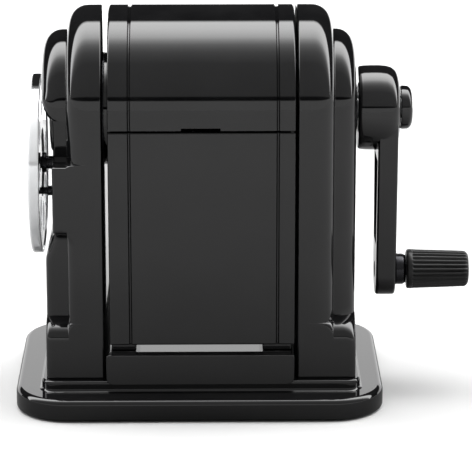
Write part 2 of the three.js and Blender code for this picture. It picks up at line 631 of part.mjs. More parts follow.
function gripSpindle() {
  return turnedX([
    [ARM_MIN_X + 0.8, 0], [ARM_MIN_X + 0.8, 3], [ARM_MAX_X + 0.2, 3], [ARM_MAX_X + 0.2, 5.7], [73.5, 5.7],
    [74.5, 5.2], [74.5, 2.5], [95, 2.5], [95, 0],
  ], 0, KNOB_Z, 28);
}

function grip() {
  const ribs = 24;
  const points = gearOutline(ribs, 6.7, 7.4, 0.28, 0.62, 0);
  const geometry = extruded(polygon(points), 19.6);
  const position = geometry.attributes.position;
  for (let i = 0; i < position.count; i += 1) {
    const scale = 1 - (position.getZ(i) / 19.6) * 0.09;
    position.setX(i, position.getX(i) * scale);
    position.setY(i, position.getY(i) * scale);
  }
  geometry.applyMatrix4(new THREE.Matrix4().set(0, 0, 1, 76.7, 1, 0, 0, 0, 0, 1, 0, KNOB_Z, 0, 0, 0, 1));
  const core = turnedX([
    [74.9, 0], [74.9, 6.6], [75.3, 7.2], [76.7, 7.4], [77.5, 7.1], [89.5, 6.5], [96.8, 6.2], [97.6, 5.6], [97.8, 4.6], [97.8, 0],
  ], 0, KNOB_Z, 32);
  const bore = rodX(2.58, 70, 95.6, 0, KNOB_Z, 32);
  return cut(core.add(solidOf(geometry)), [bore]);
}

// ---- dial ----
function dial() {
  const outside = [[-62.5, 0], [-62.5, 31.4], [-62.3, 32.5], [-61.6, DIAL_R]];
  const inside = [[-58.5, DIAL_R], [-58.5, 32.1], [-60.2, 31.9], [-61, 31.3], [-61.3, 30.4], [-61.3, 8]];
  const hub = [[-61.3, 5], [-59.4, 5], [-59.4, 0]];
  const disc = turnedX([...outside, ...inside, ...hub], 0, DIAL_Z, 40);
  const holes = DIAL_HOLE_R.map((r, i) => {
    const a = Math.PI / 2 + (i * Math.PI) / 4;
    return rodX(r, -70, -50, DIAL_HOLE_RING * Math.cos(a), DIAL_Z + DIAL_HOLE_RING * Math.sin(a), 16);
  });
  const dimples = DIAL_HOLE_R.map((r, i) => {
    const a = -Math.PI / 2 + (i * Math.PI) / 4;
    return rodX(1.5, -61.8, -50, 10.7 * Math.cos(a), DIAL_Z + 10.7 * Math.sin(a), 8);
  });
  return cut(disc, [...holes, ...dimples, rodX(2.26, -70, -50, 0, DIAL_Z, 32)]);
}

function dialPivot() {
  return turnedX([
    [-63.6, 0], [-63.6, 3.2], [-63.1, 3.8], [-62.8, 3.9], [-62.8, 2.2], [-59.1, 2.2], [-59.1, 3.65], [-57.3, 3.65],
    [-57.3, 2.4], [ENTRY_FACE_X - 0.3, 2.4], [ENTRY_FACE_X - 0.3, 2.1], [-47, 2.1], [-47, 0],
  ], 0, DIAL_Z, 18);
}

function detentPlunger() {
  return turnedX([
    [-61, 0], [-60.8, 0.8], [-60.1, 1.3], [-57.2, 1.3], [-57.2, 1.85], [-51.2, 1.85], [-51.2, 0],
  ], 0, DETENT_Z, 24);
}

function detentSpring() {
  return rodX(1.5, -50.9, -47.6, 0, DETENT_Z, 20);
}

function ringScrew(y, z) {
  return rodX(1.15, -45.4, -33.2, y, z, 12).add(rodX(1.9, -33.2, -31.8, y, z, 16));
}

function coverScrew(x, z) {
  return rodY(1.2, SHELL_R - 5.2, SHELL_R + 0.3, x, z, 16).add(rodY(2.8, SHELL_R + 0.2, SHELL_R + 1.4, x, z, 24));
}

// ---- assembly ----
function build() {
  const group = new THREE.Group();
  group.name = 'pencil_sharpener';
  addPart(group, 'base_plate', basePlate(), ENAMEL);
  addPart(group, 'base_pad', basePad(), PAD_RUBBER);
  addPart(group, 'entry_upright', entryUpright(), ENAMEL);
  addPart(group, 'crank_upright', crankUpright(), ENAMEL);
  UPRIGHT_SCREWS.forEach(([x, y], i) => addPart(group, `upright_screw_${i + 1}`, baseScrew(x, y, 24), STEEL));
  addPart(group, 'receptacle_guide', receptacleGuide(), ENAMEL);
  GUIDE_SCREWS.forEach(([x, y], i) => addPart(group, `guide_screw_${i + 1}`, guideScrew(x, y), STEEL));
  addPart(group, 'lock_spring', lockSpring(), STEEL);
  addPart(group, 'dome_cover', domeCover(), ENAMEL);
  addPart(group, 'rear_panel', rearPanel(), ENAMEL);
  COVER_SCREWS.forEach(([x, z], i) => addPart(group, `cover_screw_${i + 1}`, coverScrew(x, z), STEEL));
  addPart(group, 'receptacle', receptacle(), BIN_PLASTIC);
  addPart(group, 'ring_gear', ringGear(), BLACK_STEEL);
  ringScrewSpots().forEach(([y, z], i) => addPart(group, `ring_gear_screw_${i + 1}`, ringScrew(y, z), STEEL));
  addPart(group, 'cutter_carrier', cutterCarrier(), STEEL);
  addPart(group, 'cutter_1', cutter(1), STEEL);
  addPart(group, 'cutter_2', cutter(-1), STEEL);
  addPart(group, 'cutter_pin_1', cutterPin(1), STEEL);
  addPart(group, 'cutter_pin_2', cutterPin(-1), STEEL);
  addPart(group, 'drive_shaft', driveShaft(), STEEL);
  addPart(group, 'crank_bush', crankBush(), BRONZE);
  addPart(group, 'thrust_washer', thrustWasher(), BLACK_STEEL);
  addPart(group, 'crank_arm', crankArm(), ENAMEL);
  addPart(group, 'crank_cap_nut', capNut(), ENAMEL);
  addPart(group, 'grip_spindle', gripSpindle(), BLACK_STEEL);
  addPart(group, 'grip', grip(), GRIP_PLASTIC);
  addPart(group, 'dial', dial(), CHROME);
  addPart(group, 'dial_pivot', dialPivot(), BLACK_STEEL);
  addPart(group, 'detent_plunger', detentPlunger(), BLACK_STEEL);
  addPart(group, 'detent_spring', detentSpring(), STEEL);
  return group;
}

export default build();
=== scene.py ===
"""Looks of the hand-cranked pencil sharpener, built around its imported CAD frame."""
import math

import bmesh
import bpy
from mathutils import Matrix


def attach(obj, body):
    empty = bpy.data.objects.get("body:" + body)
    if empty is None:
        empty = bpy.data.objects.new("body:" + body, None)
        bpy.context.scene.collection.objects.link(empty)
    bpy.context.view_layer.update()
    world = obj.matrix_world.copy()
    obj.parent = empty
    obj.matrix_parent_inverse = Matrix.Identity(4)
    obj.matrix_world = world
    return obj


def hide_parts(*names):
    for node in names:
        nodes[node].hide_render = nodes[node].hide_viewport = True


MM = 0.001

# ---- shared dimensions, in millimetres: the CAD's, but for a seam 1.4 mm lower and a dial with a filled back ----
AXIS_Z, ARCH_Z = 104.6, 108.0
BASE_X, BASE_HALF_Y, BASE_CORNER, BASE_TOP_Z, BASE_EDGE = (-68.3, 65.0), 47.0, 19.0, 8.3, 2.0
PLINTH_X, PLINTH_HALF_Y, PLINTH_TOP_Z = (-58.7, 56.4), 37.2, 12.3
FOOT_Z = 12.6
ARCH_R, STEP_INSET = 34.5, 8.9
ENTRY_INNER_X, ENTRY_ARCH_X, ENTRY_FACE_X, ENTRY_HOOD_X, ENTRY_COLUMN_X = -36.2, -48.7, -53.8, -57.9, -57.0
HOOD_LOW_Z, BLOCK_TOP_Z, COLUMN_TOP_Z = 105.9, 92.2, 66.2
CRANK_INNER_X, CRANK_ARCH_X, CRANK_FACE_X = 33.7, 46.6, 54.8
COVE_LOW_Z, COVE_HIGH_Z = 26.8, 33.2
SHELL_MIN_X, SHELL_MAX_X = -34.0, 32.7
SEAM_Z = 104.6
PANEL_BOTTOM_Z, REAR_BOTTOM_Z = 25.0, 31.0
GROOVE_X, GROOVE_HALF, GROOVE_DEPTH = 26.4, 0.6, 0.7
BIN_FLOOR_Z, BIN_TOP_Z, BIN_FAR_Y = 27.0, 78.0, 28.0
RIB_TOP_Z = 22.55
RIBS_X = ((-33.6, -24.3), (20.9, 31.8))
DIAL_Z, DIAL_R, DIAL_RING, DETENT_Z = 84.2, 33.0, 20.4, 73.5
DIAL_HOLES = (4.0, 4.4, 4.8, 5.2, 5.6, 6.0, 6.5, 3.5)
KNOB_Z = 43.0

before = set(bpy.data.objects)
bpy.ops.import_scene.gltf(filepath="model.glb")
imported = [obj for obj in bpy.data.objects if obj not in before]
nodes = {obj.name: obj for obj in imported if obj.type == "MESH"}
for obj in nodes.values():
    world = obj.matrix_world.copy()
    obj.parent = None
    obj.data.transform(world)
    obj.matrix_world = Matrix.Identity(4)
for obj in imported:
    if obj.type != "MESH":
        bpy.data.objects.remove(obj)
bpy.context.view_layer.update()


# ---- materials ----
def node_material(name):
    material = bpy.data.materials.new(name)
    material.use_nodes = True
    tree = material.node_tree
    shader = tree.nodes["Principled BSDF"]
    return material, tree, shader


def noise(tree, scale, detail=4.0, roughness=0.55):
    coords = tree.nodes.new("ShaderNodeTexCoord")
    texture = tree.nodes.new("ShaderNodeTexNoise")
    texture.inputs["Scale"].default_value = scale
    texture.inputs["Detail"].default_value = detail
    texture.inputs["Roughness"].default_value = roughness
    tree.links.new(coords.outputs["Object"], texture.inputs["Vector"])
    return texture


def spread(tree, source, low, high, from_low=0.3, from_high=0.7):
    remap = tree.nodes.new("ShaderNodeMapRange")
    remap.inputs["From Min"].default_value = from_low
    remap.inputs["From Max"].default_value = from_high
    remap.inputs["To Min"].default_value = low
    remap.inputs["To Max"].default_value = high
    tree.links.new(source, remap.inputs["Value"])
    return remap.outputs["Result"]


def tint(tree, source, dark, light):
    ramp = tree.nodes.new("ShaderNodeValToRGB")
    ramp.color_ramp.elements[0].position = 0.3
    ramp.color_ramp.elements[1].position = 0.75
    ramp.color_ramp.elements[0].color = (*dark, 1)
    ramp.color_ramp.elements[1].color = (*light, 1)
    tree.links.new(source, ramp.inputs["Fac"])
    return ramp.outputs["Color"]


def bump(tree, shader, source, distance, strength=1.0, under=None):
    node = tree.nodes.new("ShaderNodeBump")
    node.inputs["Distance"].default_value = distance
    node.inputs["Strength"].default_value = strength
    tree.links.new(source, node.inputs["Height"])
    if under is not None:
        tree.links.new(under, node.inputs["Normal"])
    tree.links.new(node.outputs["Normal"], shader.inputs["Normal"])
    return node.outputs["Normal"]


def enamel(name="gloss_black_enamel", rough=0.02):
    material, tree, shader = node_material(name)
    cloud = noise(tree, 60, 3)
    speck = noise(tree, 900, 2)
    color = tint(tree, cloud.outputs["Fac"], (0.0035, 0.0035, 0.0038), (0.0065, 0.0065, 0.0068))
    tree.links.new(color, shader.inputs["Base Color"])
    tree.links.new(spread(tree, speck.outputs["Fac"], rough, rough + 0.03), shader.inputs["Roughness"])
    shader.inputs["IOR"].default_value = 1.5
    peel = noise(tree, 420, 2, 0.4)
    bump(tree, shader, peel.outputs["Fac"], 0.000006, 0.35)
    return material


def shaded_inner_enamel():
    """Enamel whose reflection and gloss fall away towards the front edge and the foot of an inner face: painted
    shade.
    """
    material, tree, shader = node_material("inner_enamel_painted_shade")
    cloud = noise(tree, 90, 4)
    tree.links.new(tint(tree, cloud.outputs["Fac"], (0.003, 0.003, 0.003), (0.006, 0.006, 0.006)), shader.inputs["Base Color"])
    place = tree.nodes.new("ShaderNodeNewGeometry")
    split = tree.nodes.new("ShaderNodeSeparateXYZ")
    tree.links.new(place.outputs["Position"], split.inputs["Vector"])
    near = spread(tree, split.outputs["Y"], 1, 0, -8 * MM, 2 * MM)
    low = spread(tree, split.outputs["Z"], 1, 0, 28 * MM, 31 * MM)
    # painted shade: reflection and gloss turned down near the front edge and towards the foot
    painted_shade_mask = tree.nodes.new("ShaderNodeMath")
    painted_shade_mask.operation = "MAXIMUM"
    tree.links.new(near, painted_shade_mask.inputs[0])
    tree.links.new(low, painted_shade_mask.inputs[1])
    tree.links.new(spread(tree, painted_shade_mask.outputs[0], 0.03, 0.6, 0, 1), shader.inputs["Roughness"])
    tree.links.new(spread(tree, painted_shade_mask.outputs[0], 0.5, 0.04, 0, 1), shader.inputs["Specular IOR Level"])
    bump(tree, shader, cloud.outputs["Fac"], 0.00001, 0.3)
    return material


def metal(name, dark, light, rough, scratch=0.06, streak=None):
    material, tree, shader = node_material(name)
    shader.inputs["Metallic"].default_value = 1.0
    coarse = noise(tree, 140, 5)
    fine = noise(tree, 1600, 3)
    tree.links.new(tint(tree, coarse.outputs["Fac"], dark, light), shader.inputs["Base Color"])
    source = fine.outputs["Fac"]
    if streak is not None:
        mapping = tree.nodes.new("ShaderNodeMapping")
        mapping.inputs["Scale"].default_value = streak
        coords = tree.nodes.new("ShaderNodeTexCoord")
        tree.links.new(coords.outputs["Object"], mapping.inputs["Vector"])
        tree.links.new(mapping.outputs["Vector"], fine.inputs["Vector"])
        fine.inputs["Scale"].default_value = 300
    tree.links.new(spread(tree, source, rough, rough + scratch), shader.inputs["Roughness"])
    bump(tree, shader, source, 0.000004, 0.3)
    return material


def plate_with_painted_reflection():
    """Bright plating: a clear mirror on its flat sides and where the rim faces up or down; where the rim faces
    sideways it turns part diffuse and whiter by its world-space normal, a painted reflection.
    """
    material, tree, shader = node_material("plated_dial_painted_reflection")
    coarse = noise(tree, 140, 5)
    fine = noise(tree, 1600, 3)
    tree.links.new(tint(tree, coarse.outputs["Fac"], (0.82, 0.83, 0.84), (0.90, 0.91, 0.92)), shader.inputs["Base Color"])
    place = tree.nodes.new("ShaderNodeNewGeometry")
    split = tree.nodes.new("ShaderNodeSeparateXYZ")
    tree.links.new(place.outputs["Normal"], split.inputs["Vector"])
    # world-space normals set the metal share, so the whiter sideways rim is a painted reflection that stays put as
    # the dial turns
    shares = []
    for axis, low in (("X", 0.0), ("Z", 0.35)):
        size = tree.nodes.new("ShaderNodeMath")
        size.operation = "ABSOLUTE"
        tree.links.new(split.outputs[axis], size.inputs[0])
        shares.append(spread(tree, size.outputs[0], low, 1.0, 0.88, 0.95))
    mirror = tree.nodes.new("ShaderNodeMath")
    mirror.operation = "MAXIMUM"
    tree.links.new(shares[0], mirror.inputs[0])
    tree.links.new(shares[1], mirror.inputs[1])
    tree.links.new(mirror.outputs[0], shader.inputs["Metallic"])
    tree.links.new(spread(tree, fine.outputs["Fac"], 0.03, 0.06), shader.inputs["Roughness"])
    bump(tree, shader, fine.outputs["Fac"], 0.000004, 0.3)
    return material


def dull(name, dark, light, rough, grain_scale, grain_height, gloss=0.5):
    material, tree, shader = node_material(name)
    cloud = noise(tree, 90, 4)
    grain = noise(tree, grain_scale, 4, 0.6)
    tree.links.new(tint(tree, cloud.outputs["Fac"], dark, light), shader.inputs["Base Color"])
    tree.links.new(spread(tree, grain.outputs["Fac"], rough, rough + 0.15), shader.inputs["Roughness"])
    shader.inputs["Specular IOR Level"].default_value = gloss
    bump(tree, shader, grain.outputs["Fac"], grain_height, 0.6)
    return material


ENAMEL = enamel()
BIN = enamel("gloss_black_receptacle", 0.025)
CHROME_PAINTED_REFLECTION = plate_with_painted_reflection()
STEEL = metal("zinc_plated_steel", (0.42, 0.43, 0.44), (0.58, 0.59, 0.60), 0.25, 0.12)
CUTTER = metal("ground_tool_steel", (0.34, 0.35, 0.37), (0.50, 0.51, 0.53), 0.2, 0.15, (8, 0.6, 0.6))
BLACK_STEEL = metal("blackened_steel", (0.018, 0.018, 0.02), (0.04, 0.04, 0.043), 0.22, 0.1)
BRONZE = metal("sintered_bronze", (0.35, 0.23, 0.10), (0.52, 0.36, 0.18), 0.35, 0.15)
GRIP = dull("ribbed_grip_plastic", (0.006, 0.006, 0.006), (0.011, 0.011, 0.011), 0.3, 1500, 0.00003, 0.3)
RAW = dull("as_cast_inner_faces", (0.003, 0.003, 0.003), (0.006, 0.006, 0.006), 0.55, 900, 0.00004, 0.1)
SHADED_INNER = shaded_inner_enamel()
PAD = dull("non_slip_pad", (0.010, 0.010, 0.011), (0.022, 0.022, 0.023), 0.8, 700, 0.00012)


# ---- mesh building ----
built = []


def finish_object(name, bm, body, material, sharp=32, bevel=0.0, segments=3, replaced=()):
    bmesh.ops.remove_doubles(bm, verts=bm.verts, dist=1e-6)
    bmesh.ops.dissolve_degenerate(bm, edges=bm.edges, dist=1e-7)
    bmesh.ops.recalc_face_normals(bm, faces=bm.faces)
    mesh = bpy.data.meshes.new(name)
    bm.to_mesh(mesh)
    bm.free()
    mesh.shade_smooth()
    mesh.set_sharp_from_angle(angle=math.radians(sharp))
    mesh.materials.append(material)
    obj = bpy.data.objects.new(name, mesh)
    bpy.context.scene.collection.objects.link(obj)
    built.append(obj)
    if bevel > 0:
        modifier = obj.modifiers.new("edge", "BEVEL")
        modifier.width = bevel * MM
        modifier.segments = segments
        modifier.limit_method = "ANGLE"
        modifier.angle_limit = math.radians(40)
        modifier.harden_normals = True
    if body:
        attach(obj, body)
    if replaced:
        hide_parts(*replaced)
    return obj


def add_vert(bm, x, y, z):
    return bm.verts.new((x * MM, y * MM, z * MM))


def grid(bm, rows, close_u=False, close_v=False):
    """Quads between rows of vertices that all have the same length."""
    count = len(rows)
    width = len(rows[0])
    for i in range(count if close_u else count - 1):
        a, b = rows[i], rows[(i + 1) % count]
        for j in range(width if close_v else width - 1):
            k = (j + 1) % width
            bm.faces.new((a[j], a[k], b[k], b[j]))


def lathe_x(bm, profile, y, z, segments=96):
    """Profile of (x, radius), closed on the axis where the radius is 0, or closed on itself."""
    on_axis = profile[0][1] == 0
    rings = []
    for x, r in profile:
        if r == 0:
            rings.append([add_vert(bm, x, y, z)])
            continue
        angles = [2 * math.pi * i / segments for i in range(segments)]
        rings.append([add_vert(bm, x, y + r * math.cos(a), z + r * math.sin(a)) for a in angles])
    pairs = list(zip(rings, rings[1:])) + ([] if on_axis else [(rings[-1], rings[0])])
    for a, b in pairs:
        for i in range(segments):
            k = (i + 1) % segments
            if len(a) == 1 and len(b) == 1:
                break
            if len(a) == 1:
                bm.faces.new((a[0], b[k], b[i]))
            elif len(b) == 1:
                bm.faces.new((a[i], a[k], b[0]))
            else:
                bm.faces.new((a[i], a[k], b[k], b[i]))


def loft(bm, rings, cap=True):
    rows = [[add_vert(bm, *p) for p in ring] for ring in rings]
    grid(bm, rows, close_v=True)
    if cap:
        bm.faces.new(rows[0])
        bm.faces.new(rows[-1])


def rounded_rect(u0, u1, v0, v1, radii, steps=10):
    """Points anticlockwise from the low corner."""
    if isinstance(radii, (int, float)):
        radii = (radii,) * 4
    centres = ((u0, v0, 180), (u1, v0, 270), (u1, v1, 0), (u0, v1, 90))
    points = []
    for (u, v, start), r in zip(centres, radii):
        r = max(r, 0.01)
        cu = u + r if u == u0 else u - r
        cv = v + r if v == v0 else v - r
        for i in range(steps + 1):
            a = math.radians(start + 90 * i / steps)
            points.append((cu + r * math.cos(a), cv + r * math.sin(a)))
    return points


def pillow(bm, u, v, w, radii, edge, order, steps=10, edge_steps=4):
    """A rounded block: u, v and w are (low, high), the corner radii are in u-v and the edge rounding is along w."""
    low = []
    for i in range(edge_steps + 1):
        a = math.pi / 2 * i / edge_steps
        low.append((w[0] + edge * (1 - math.sin(a)), edge * (1 - math.cos(a))))
    stations = sorted(low) + sorted((w[0] + w[1] - z, inset) for z, inset in low)
    rings = []
    for z, inset in stations:
        outline = rounded_rect(u[0] + inset, u[1] - inset, v[0] + inset, v[1] - inset,
                               [max(r - inset, 0.05) for r in radii], steps)
        rings.append([order(a, b, z) for a, b in outline])
    loft(bm, rings)


def xyz(a, b, c):
    return (a, b, c)


def xzy(a, b, c):
    return (a, c, b)


def smooth_step(t):
    t = min(max(t, 0.0), 1.0)
    return t * t * (3 - 2 * t)


def mix(a, b, t):
    return a + (b - a) * t


def cutter_object(bm):
    mesh = bpy.data.meshes.new("tool")
    bmesh.ops.recalc_face_normals(bm, faces=bm.faces)
    bm.to_mesh(mesh)
    bm.free()
    tool = bpy.data.objects.new("tool", mesh)
    bpy.context.scene.collection.objects.link(tool)
    return tool


def boolean(obj, tools, operation="DIFFERENCE", sharp=32):
    """Cuts or joins and keeps the result as the object's mesh."""
    for tool in tools:
        modifier = obj.modifiers.new("cut", "BOOLEAN")
        modifier.object = tool
        modifier.operation = operation
        modifier.solver = "EXACT"
    bpy.context.view_layer.update()
    evaluated = obj.evaluated_get(bpy.context.evaluated_depsgraph_get())
    mesh = bpy.data.meshes.new_from_object(evaluated)
    obj.modifiers.clear()
    old = obj.data
    obj.data = mesh
    bpy.data.meshes.remove(old)
    for tool in tools:
        bpy.data.objects.remove(tool)
    mesh.shade_smooth()
    mesh.set_sharp_from_angle(angle=math.radians(sharp))
    return obj


# ---- castings ----
def casting_profile(sign, inner, arch_x, a1, b1, step, outer, a2, b2):
    """(x, inset) points from the inner edge over the arch and the step to the outer face."""
    n = 8
    points = [(inner, 0.55), (inner + sign * 0.16, 0.16), (inner + sign * 0.55, 0)]
    start = arch_x - sign * a1
    points.append(((inner + start) / 2, 0))
    for i in range(n + 1):
        t = math.pi / 2 * i / n
        points.append((start + sign * a1 * math.sin(t), b1 * (1 - math.cos(t))))
    fillet = min(0.5, max(step - b1, 0) / 2)
    for i in range(4):
        t = math.pi / 2 * i / 3
        points.append((arch_x + sign * fillet * (1 - math.cos(t)), step - fillet * (1 - math.sin(t))))
    start = outer - sign * a2
    points.append(((arch_x + start) / 2, step))
    for i in range(n + 1):
        t = math.pi / 2 * i / n
        points.append((start + sign * a2 * math.sin(t), step + b2 * (1 - math.cos(t))))
    points.append((outer, step + b2 + 2))
    points.append((outer, ARCH_R))
    return points


def cove_share(z):
    """0 above the rounded ledge, 1 where the foot is full width."""
    if z >= COVE_HIGH_Z:
        return 0.0
    if z <= COVE_LOW_Z:
        return 1.0
    rise = (z - COVE_LOW_Z) / (COVE_HIGH_Z - COVE_LOW_Z)
    return math.sqrt(1 - rise * rise)


def crank_params(z):
    keep = 1 - cove_share(z)
    a2 = mix(6.6, 2.2, smooth_step((36 - z) / 12))
    return (1, CRANK_INNER_X, CRANK_ARCH_X, 7.4 * keep, 6.4 * keep, STEP_INSET * keep, CRANK_FACE_X, a2, a2)


def entry_params(z):
    inner = ENTRY_INNER_X
    if z >= HOOD_LOW_Z:
        out = mix(ENTRY_FACE_X, ENTRY_HOOD_X, math.sqrt(min((z - HOOD_LOW_Z) / 8, 1.0)))
        r2 = mix(3.2, 7.0, smooth_step((z - HOOD_LOW_Z) / 13))
        return (-1, inner, ENTRY_ARCH_X, 7.4, 6.4, STEP_INSET, out, r2, r2)
    if z >= BLOCK_TOP_Z:
        recess = mix(11.6, 10.2, (z - BLOCK_TOP_Z) / 13.7)
        return (-1, inner, ENTRY_ARCH_X, 7.4, 6.4, recess, ENTRY_FACE_X, 0.7, 0.7)
    if z >= COLUMN_TOP_Z + 1.5:
        t = min((BLOCK_TOP_Z - z) / 1.4, 1.0)
        keep = 1 - math.sqrt(max(0.0, 1 - (1 - t) ** 2))
        return (-1, inner, ENTRY_ARCH_X, 7.4 * keep, 6.4 * keep, 11.6 * keep, ENTRY_FACE_X, 1.3, 1.3)
    if z >= COVE_HIGH_Z:
        t = smooth_step((COLUMN_TOP_Z + 1.5 - z) / 5)
        out = mix(ENTRY_FACE_X, ENTRY_COLUMN_X, smooth_step((COLUMN_TOP_Z - z) / 12.6))
        r2 = mix(1.3, 2.4, t)
        return (-1, inner, ENTRY_ARCH_X, 3.0 * t, 2.6 * t, STEP_INSET * t, out, r2, r2)
    keep = 1 - cove_share(z)
    return (-1, inner, ENTRY_ARCH_X, 3.0 * keep, 2.6 * keep, STEP_INSET * keep, ENTRY_COLUMN_X, 2.4, 2.4)


def steps(low, high, count):
    return [low + (high - low) * i / count for i in range(count)]


def ledge_steps(count):
    """Heights that follow the ledge's round, closest together near its top."""
    rise = COVE_HIGH_Z - COVE_LOW_Z
    return [COVE_LOW_Z + rise * math.sin(math.pi / 2 * i / count) for i in range(count)] + [COVE_HIGH_Z]


def casting(name, params, heights, body, hollow_tools):
    bm = bmesh.new()
    rows = []
    arc = 120
    for side in (-1, 1):
        column = []
        for z in heights:
            column.append([(x, side * (ARCH_R - d), z) for x, d in casting_profile(*params(z))])
        if side < 0:
            rows += column
            for i in range(arc + 1):
                phi = math.pi - math.pi * i / arc
                across, up = math.cos(phi), math.sin(phi)
                points = casting_profile(*params(ARCH_Z + (ARCH_R - STEP_INSET) * up))
                rows.append([(x, (ARCH_R - d) * across, ARCH_Z + (ARCH_R - d) * up) for x, d in points])
        else:
            rows += column[::-1]
    verts = [[add_vert(bm, *p) for p in row] for row in rows]
    grid(bm, verts)
    bm.faces.new([row[0] for row in verts])
    bm.faces.new(verts[0] + verts[-1][::-1])
    obj = finish_object(name, bm, body, ENAMEL, sharp=50, replaced=(name.replace("_casting", "_upright"),))
    boolean(obj, hollow_tools, sharp=50)
    # the entry casting's inner face gets the enamel with painted shade
    inner_x, material = (CRANK_INNER_X, RAW) if params is crank_params else (ENTRY_INNER_X, SHADED_INNER)
    obj.data.materials.append(material)
    for face in obj.data.polygons:
        if abs(face.normal.x) > 0.95 and abs(face.center.x - inner_x * MM) < 0.05 * MM:
            face.material_index = 1
    return obj


def rod_tool(r, x0, x1, y, z, segments=96):
    bm = bmesh.new()
    lathe_x(bm, [(x0, 0), (x0, r), (x1, r), (x1, 0)], y, z, segments)
    return cutter_object(bm)


def box_tool(x0, x1, y0, y1, z0, z1):
    bm = bmesh.new()
    loft(bm, [[(x0, y0, z), (x1, y0, z), (x1, y1, z), (x0, y1, z)] for z in (z0, z1)])
    return cutter_object(bm)


def build_castings():
    foot, high, top = COVE_LOW_Z - 0.6, COVE_HIGH_Z + 0.3, BLOCK_TOP_Z
    low_part = steps(FOOT_Z, foot, 6) + steps(foot, COVE_LOW_Z, 2) + ledge_steps(24)
    entry_heights = low_part + steps(high, 50, 8) + steps(50, 68.4, 26) + steps(68.4, top - 3.2, 8) + steps(top - 3.2, top, 20)
    entry_heights += steps(top, top + 0.4, 1) + steps(top + 0.4, HOOD_LOW_Z - 0.4, 8) + steps(HOOD_LOW_Z - 0.4, HOOD_LOW_Z - 0.02, 1)
    entry_heights += steps(HOOD_LOW_Z - 0.02, HOOD_LOW_Z + 0.02, 1) + steps(HOOD_LOW_Z + 0.02, ARCH_Z, 6)
    casting("entry_casting", entry_params, entry_heights, "frame",
            [rod_tool(6.4, -70, -30, 0, AXIS_Z), rod_tool(2.25, -62, -45, 0, DIAL_Z, 48),
             rod_tool(2.15, -60, -47.3, 0, DETENT_Z, 48), rod_tool(20.7, ENTRY_INNER_X - 4, -30, 0, AXIS_Z),
             box_tool(-52.5, -40.3, -22.4, 22.4, 5, 60)])
    crank_heights = low_part + steps(high, 38, 14) + steps(38, 98, 14) + steps(98, ARCH_Z, 4)
    casting("crank_casting", crank_params, crank_heights, "frame",
            [rod_tool(6.9, 20, 70, 0, AXIS_Z), rod_tool(9.2, CRANK_FACE_X - 1.7, 70, 0, AXIS_Z),
             box_tool(37.4, 50, -22, 22, 5, 82)])
    bm = bmesh.new()
    lathe_x(bm, [(-53.5, 6.4), (-54.9, 6.4), (-55.35, 6.9), (-55.35, 13.9), (-55.2, 15.0), (-54.8, 15.5), (-53.5, 15.5)], 0, AXIS_Z)
    finish_object("pencil_boss", bm, "frame", ENAMEL)
    bm = bmesh.new()
    lathe_x(bm, [(31.15, 6.9), (31.15, 9.9), (31.7, 10.5), (34, 10.5), (34, 6.9)], 0, AXIS_Z)
    finish_object("bearing_boss", bm, "frame", ENAMEL)


# ---- base ----
def build_base():
    bm = bmesh.new()
    rings = []
    stations = [(0.5, 5.0), (0.5, 0.9), (0.75, 0.25), (1.4, 0.0), (4.0, 0.0)]
    for i in range(9):
        t = math.pi / 2 * i / 8
        stations.append((BASE_TOP_Z - BASE_EDGE + BASE_EDGE * math.sin(t), BASE_EDGE * (1 - math.cos(t))))
    for z, inset in stations:
        outline = rounded_rect(BASE_X[0] + inset, BASE_X[1] - inset, -BASE_HALF_Y + inset, BASE_HALF_Y - inset, BASE_CORNER - inset, 20)
        rings.append([(x, y, z) for x, y in outline])
    loft(bm, rings)
    base = finish_object("base_casting", bm, "frame", ENAMEL, sharp=50, replaced=("base_plate",))
    seat = bmesh.new()
    loft(seat, [[(x, y, z) for x, y in rounded_rect(-63.9, 60.6, -42.6, 42.6, 14.8, 10)] for z in (-1, 2.5)])
    boolean(base, [cutter_object(seat)], sharp=50)
    bm = bmesh.new()
    rings = []
    stations = [(BASE_TOP_Z - 0.3, -0.9), (BASE_TOP_Z + 0.02, -0.9), (BASE_TOP_Z + 0.15, -0.5), (BASE_TOP_Z + 0.5, -0.15), (BASE_TOP_Z + 0.9, 0.0)]
    stations += [(BASE_TOP_Z + 1.1, 0.0), (PLINTH_TOP_Z - 1.0, 0.0)]
    for i in range(5):
        t = math.pi / 2 * i / 4
        stations.append((PLINTH_TOP_Z - 0.8 + 0.8 * math.sin(t), 0.8 * (1 - math.cos(t))))
    for z, inset in stations:
        outline = rounded_rect(PLINTH_X[0] + inset, PLINTH_X[1] - inset, -PLINTH_HALF_Y + inset, PLINTH_HALF_Y - inset, 5 - inset, 12)
        rings.append([(x, y, z) for x, y in outline])
    loft(bm, rings)
    finish_object("base_plinth", bm, "frame", ENAMEL, sharp=50)


# ---- shell, panels, receptacle ----
def skin_profile(x0, x1, wall, lip=0.8):
    """Closed (x, inset) outline of a sheet with rounded ends and two grooves in its outer face."""
    outer = []
    for i in range(5):
        t = math.pi / 2 * i / 4
        outer.append((x0 + lip * (1 - math.cos(t)), lip * (1 - math.sin(t))))
    for gx in (-GROOVE_X, GROOVE_X):
        outer += [(gx - GROOVE_HALF - 0.25, 0), (gx - GROOVE_HALF, 0.06), (gx - 0.28, GROOVE_DEPTH - 0.1), (gx, GROOVE_DEPTH),
                  (gx + 0.28, GROOVE_DEPTH - 0.1), (gx + GROOVE_HALF, 0.06), (gx + GROOVE_HALF + 0.25, 0)]
    for i in range(5):
        t = math.pi / 2 * i / 4
        outer.append((x1 - lip * (1 - math.sin(t)), lip * (1 - math.cos(t))))
    return outer + [(x1, wall), (x0, wall)]


def rod_tool_y(r, x, y0, y1, z, segments=40):
    bm = bmesh.new()
    rings = []
    for y in (y0, y1):
        turns = [2 * math.pi * i / segments for i in range(segments)]
        rings.append([(x + r * math.cos(a), y, z + r * math.sin(a)) for a in turns])
    loft(bm, rings)
    return cutter_object(bm)


